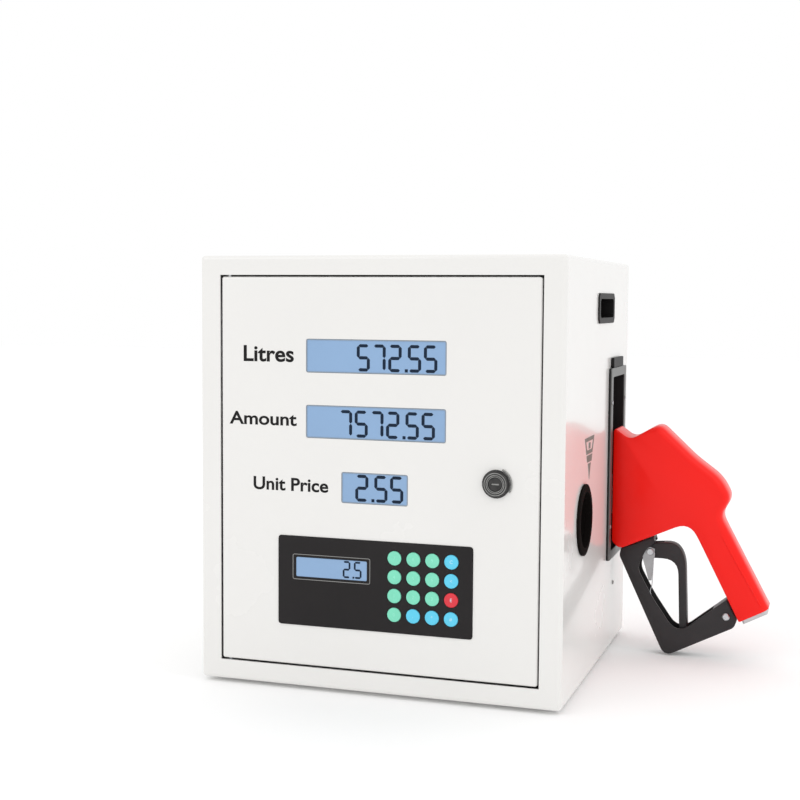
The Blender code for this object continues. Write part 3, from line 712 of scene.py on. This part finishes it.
# The grip is narrower than the body: cuts across its neck let the faces narrow step by step.
grip = Vector(gripLook["down"])
gripTop = Vector((gripLook["topX"], nozzleMid, gripLook["topZ"]))
for step in gripLook["cuts"]:
    editAll(cover)
    bpy.ops.mesh.bisect(plane_co=(gripTop + grip * step) * mm, plane_no=grip)
    leaveEdit()
for vert in cover.data.vertices:
    spot = vert.co / mm
    down = (spot - gripTop).dot(grip)
    pinch = 1 - (1 - gripLook["pinch"]) * easeStep(down, gripLook["pinchStart"], gripLook["pinchEnd"])
    vert.co.y = (nozzleMid + (spot.y - nozzleMid) * pinch) * mm
finishPiece(cover, "nozzle_jacket", "nozzle", finishes["nozzleRed"], 28)
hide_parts("nozzle_cover")
gripHalf = coverLook["half"] * gripLook["pinch"]
creases = [tubePiece([(x, nozzleMid + side * (gripHalf - sink), z) for x, sink, z in creaseLook["path"]],
                     creaseLook["radius"]) for side in (-1, 1)]
finishPiece(joinPieces(creases), "jacket_grip_seam", "nozzle", finishes["nozzleRed"], 60)
print("nozzle jacket")

# Trigger guard: an open channel with rounded rims
guardLook = {"half": 13.0, "channelHalf": 10.7, "rimRound": 1.6}
guardCorners = [(212, 120.6, 1), (210.4, 111.8, 3), (265.7, -5.9, 12), (345.4, 34.8, 4), (348.6, 43.5, 3),
                (336.4, 67.4, 2), (279.6, 21.8, 19), (249.2, 65.8, 10), (231.8, 98.4, 9), (241.1, 119.3, 6),
                (252.3, 130, 1), (250.5, 136.4, 1), (226, 125.7, 2)]
channelCorners = [(218.5, 113, 2), (266.4, 5.6, 6), (336, 38, 2), (334, 50, 2), (300, 62, 2), (282, 66, 8),
                  (262, 80, 4), (256, 100, 4), (260, 132, 1), (252, 133, 1), (240, 128, 1), (223, 119.5, 1)]
guard = outlinePiece(roundCorners(guardCorners), nozzleMid - guardLook["half"],
                     nozzleMid + guardLook["half"], 1)
bevelPiece(guard, guardLook["rimRound"], 3, angle=60)
channel = outlinePiece(roundCorners(channelCorners, 4), nozzleMid - guardLook["channelHalf"],
                       nozzleMid + guardLook["channelHalf"], 1)
carve(guard, channel)
finishPiece(guard, "guard_bow", "nozzle", finishes["guardBlack"], 40)
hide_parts("trigger_guard")

# Trigger lever: a bent bar with full round edges, slotted at its pivot
leverLook = {"half": 8.0, "edgeRound": 2.6, "slotHalf": 3.6}
leverSlot = [(230, 100), (262, 100), (262, 140), (230, 140)]
leverCorners = [(239.5, 126, 5), (252, 128.8, 4), (276.4, 130.6, 12), (287.6, 114, 14), (291.3, 18, 3),
                (282.3, 13.5, 3), (279, 110.3, 18), (239.5, 110.3, 5)]
lever = outlinePiece(roundCorners(leverCorners), nozzleMid - leverLook["half"],
                     nozzleMid + leverLook["half"], 1)
bevelPiece(lever, leverLook["edgeRound"], 4, angle=60)
carve(lever, outlinePiece(leverSlot, nozzleMid - leverLook["slotHalf"], nozzleMid + leverLook["slotHalf"], 1))
finishPiece(lever, "lever_bow", "trigger", finishes["guardBlack"], 40)
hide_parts("trigger_lever")
print("guard and lever")

# Nozzle trim: rings at the hose inlet, coils on the spout and a wire on the latch
inletLook = {"x": 367.5, "z": 52.1, "rings": ((0.8, 14.8), (2.6, 13.8)), "thick": 1.1}
coilLook = {"turns": 7, "start": 182.5, "pitch": 2.6, "z": 185, "radius": 12.6, "thick": 0.9, "tilt": 84}
wireLook = {"radius": 0.55, "path": ((246.2, 0.6, 121.5), (251, 0.6, 118), (250.8, 0.6, 108), (250, 0.6, 90),
                                     (249.4, 0.6, 78), (247.5, 0.6, 70), (248.6, 0.4, 66.5))}   # x, gap, z
gripEnd = Vector((inletLook["x"], nozzleMid, inletLook["z"]))
gripTurn = Vector((0, 0, 1)).rotation_difference(grip).to_euler()
ringParts = [torusPiece((gripEnd + grip * step) * mm, gripTurn, radius, inletLook["thick"], 40, 10)
             for step, radius in inletLook["rings"]]
finishPiece(joinPieces(ringParts), "hose_inlet_rings", "nozzle", finishes["castAluminium"])
coil = []
for k in range(coilLook["turns"]):
    place = ((coilLook["start"] - coilLook["pitch"] * k) * mm, nozzleMid * mm, coilLook["z"] * mm)
    coil.append(torusPiece(place, (0, math.radians(coilLook["tilt"]), 0), coilLook["radius"],
                           coilLook["thick"], 36, 8))
finishPiece(joinPieces(coil), "spout_anchor_coils", "nozzle", finishes["zincSteel"])
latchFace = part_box("hold_latch")[0].y / mm
latchWire = tubePiece([(x, latchFace - gap, z) for x, gap, z in wireLook["path"]], wireLook["radius"])
finishPiece(latchWire, "latch_spring_wire", "latch", finishes["zincSteel"], 60)
print("nozzle trim")

# Inside: motor fins, pump bolts, pipe nuts and wiring
motorLook = {"x": -95.0, "z": 75.0, "fins": 14, "start": 200, "sweep": 140, "foot": 51, "tip": 57,
             "halfThick": 1.1, "front": 26, "back": 134, "highest": 128, "round": 0.5}
pumpLook = {"bolts": 6, "circle": 38, "face": -60.02, "radius": 4.2, "tall": 3.0, "start": 30}
nutLook = {"long": 8, "sides": 6, "round": 1.2}
nutPlaces = (((-95, -25, 152), (0, 0, 1), 17), ((-95, -25, 206), (0, 0, 1), 17),
             ((-60, -30, 287), (0, 0, 1), 18), ((-19, -25, 60), (1, 0, 0), 17))
# each lead's ends are its x at the control box and at the motor
leadLook = {"radius": 2.2, "bend": 12, "ends": ((-170, -112), (-160, -104), (-150, -96))}
motorCentre = Vector((motorLook["x"], 0, motorLook["z"]))
fins = []
for k in range(motorLook["fins"]):
    turn = math.radians(motorLook["start"] + motorLook["sweep"] * k / (motorLook["fins"] - 1))
    direction = Vector((math.cos(turn), 0, -math.sin(turn)))
    side = Vector((direction.z, 0, -direction.x)) * motorLook["halfThick"]
    foot = motorCentre + direction * motorLook["foot"]
    tip = motorCentre + direction * motorLook["tip"]
    if tip.z > motorLook["highest"]:
        continue
    fin = [(foot.x + side.x, foot.z + side.z), (tip.x + side.x, tip.z + side.z),
           (tip.x - side.x, tip.z - side.z), (foot.x - side.x, foot.z - side.z)]
    fins.append(outlinePiece(fin, motorLook["front"], motorLook["back"], 1))
motorFins = bevelPiece(joinPieces(fins), motorLook["round"], 2)
finishPiece(motorFins, "motor_fins", "cabinet", finishes["motorBlue"])
bolts = []
for k in range(pumpLook["bolts"]):
    turn = math.radians(360 / pumpLook["bolts"] * k + pumpLook["start"])
    spot = (motorLook["x"] + pumpLook["circle"] * math.cos(turn), pumpLook["face"],
            motorLook["z"] + pumpLook["circle"] * math.sin(turn))
    bolts.append(panScrew(spot, (0, -1, 0), pumpLook["radius"], pumpLook["tall"]))
finishPiece(joinPieces(bolts), "pump_bolts", "cabinet", finishes["zincSteel"])
nuts = [rodPiece(spot, Vector(spot) + Vector(axis) * nutLook["long"], radius, nutLook["sides"],
                 nutLook["round"])
        for spot, axis, radius in nutPlaces]
finishPiece(joinPieces(nuts), "pipe_nuts", "cabinet", finishes["zincSteel"])
harness = []
for startX, endX in leadLook["ends"]:
    path = [(startX, 83, 307), (startX, 70, 290), (startX + leadLook["bend"], 60, 230), (endX, 74, 170),
            (endX, 78, 143)]
    harness.append(tubePiece(path, leadLook["radius"]))
finishPiece(joinPieces(harness), "motor_wiring", "cabinet", finishes["wireBlack"], 60)

# Control box: a lid with rounded edges and four screws
lidLook = {"inset": 4, "corner": 5, "thick": 3, "gap": 0.05, "round": 1.4, "screwIn": 11, "screwRadius": 2.8,
           "screwTall": 1.3}
boxLow, boxHigh = boxOf("control_box")
lidCorners = roundedRect(boxLow.x + lidLook["inset"], boxLow.z + lidLook["inset"],
                         boxHigh.x - lidLook["inset"], boxHigh.z - lidLook["inset"], lidLook["corner"])
lid = outlinePiece(lidCorners, boxLow.y - lidLook["thick"], boxLow.y - lidLook["gap"], 1)
bevelPiece(lid, lidLook["round"], 3)
finishPiece(lid, "control_box_lid", "cabinet", finishes["blackPlastic"])
lidScrews = [panScrew((x, boxLow.y - lidLook["thick"] - faceGap, z), (0, -1, 0), lidLook["screwRadius"],
                      lidLook["screwTall"])
             for x in (boxLow.x + lidLook["screwIn"], boxHigh.x - lidLook["screwIn"])
             for z in (boxLow.z + lidLook["screwIn"], boxHigh.z - lidLook["screwIn"])]
finishPiece(joinPieces(lidScrews), "control_box_screws", "cabinet", finishes["zincSteel"])

# Display board: a row of driver chips on its rear face
chipLook = {"count": 5, "first": 14, "spare": 40, "wide": 12, "foot": 30, "top": 38, "gap": 0.05,
            "proud": 1.8, "round": 0.3}
boardLow, boardHigh = boxOf("display_board")
chipFoot, chipTop = boardLow.z + chipLook["foot"], boardLow.z + chipLook["top"]
chipSpan = boardHigh.x - boardLow.x - chipLook["spare"]
chips = []
for k in range(chipLook["count"]):
    left = boardLow.x + chipLook["first"] + k * chipSpan / (chipLook["count"] - 1)
    right = left + chipLook["wide"]
    chip = outlinePiece([(left, chipFoot), (right, chipFoot), (right, chipTop), (left, chipTop)],
                        boardHigh.y + chipLook["gap"], boardHigh.y + chipLook["proud"], 1)
    chips.append(bevelPiece(chip, chipLook["round"], 1))
finishPiece(joinPieces(chips), "board_chips", "door", finishes["blackPlastic"])
print("inside details")

# Floor, lights and camera
studio = {"lens": 61.87, "place": (0.47445, -1.53137, 0.41360), "yaw": -18.443, "pitch": -4.151,
          "roll": 0.369, "sensor": 36, "floorWidth": 14.0, "floorBack": 2.0, "floorDrop": 0.3,
          "worldGlow": 1.0}
lights = {"keyLight": {"place": (-1.5, -2.4, 2.3), "target": (0, 0, 0.2), "power": 8, "size": (1.6, 1.6)},
          "fillLight": {"place": (2.0, -0.7, 1.9), "target": (0.3, 0.1, 0.2), "power": 5, "size": (0.5, 1.4)},
          "topLight": {"place": (0.2, 0.6, 2.6), "target": (0, 0, 0.2), "power": 3, "size": (2.0, 2.0)}}
deselectAll()
floorLevel = cadBox[0][2] - studio["floorDrop"] * mm   # just under the feet
bpy.ops.mesh.primitive_plane_add(size=studio["floorWidth"], location=(0, studio["floorBack"], floorLevel))
floor = bpy.context.object
settle(floor)
floor.name = "studio_floor"
floorFinish = makeFinish("studioFloor", (0.94, 0.94, 0.94), 0.9, vary=0.004, bump=0.02, glow=0.07, sheen=0.2)
floor.data.materials.append(floorFinish)

world = bpy.data.worlds.new("studioWorld")
world.use_nodes = True
world.node_tree.nodes["Background"].inputs["Color"].default_value = (1.0, 1.0, 1.0, 1.0)
world.node_tree.nodes["Background"].inputs["Strength"].default_value = studio["worldGlow"]
bpy.context.scene.world = world
bpy.context.scene.view_settings.view_transform = "Standard"   # plain colours, no film curve


def areaLight(name, place, target, power, size):
    deselectAll()
    bpy.ops.object.light_add(type="AREA", location=place)
    lamp = bpy.context.object
    lamp.name = name
    lamp.data.energy = power
    lamp.data.shape = "RECTANGLE"
    lamp.data.size, lamp.data.size_y = size
    lamp.rotation_euler = (Vector(target) - Vector(place)).to_track_quat("-Z", "Y").to_euler()


for name, light in lights.items():
    areaLight(name, **light)

yaw, pitch, roll = [math.radians(studio[key]) for key in ("yaw", "pitch", "roll")]
forward = Vector((math.sin(yaw) * math.cos(pitch), math.cos(yaw) * math.cos(pitch), math.sin(pitch)))
flat = Vector((math.cos(yaw), -math.sin(yaw), 0))
upward = flat.cross(forward)
right = flat * math.cos(roll) + upward * math.sin(roll)
top = upward * math.cos(roll) - flat * math.sin(roll)
turned = Matrix((right, top, -forward)).transposed().to_4x4()
deselectAll()
bpy.ops.object.camera_add()
camera = bpy.context.object
camera.matrix_world = Matrix.Translation(studio["place"]) @ turned
camera.data.lens = studio["lens"]
camera.data.sensor_width = studio["sensor"]
bpy.context.scene.camera = camera
print("studio")
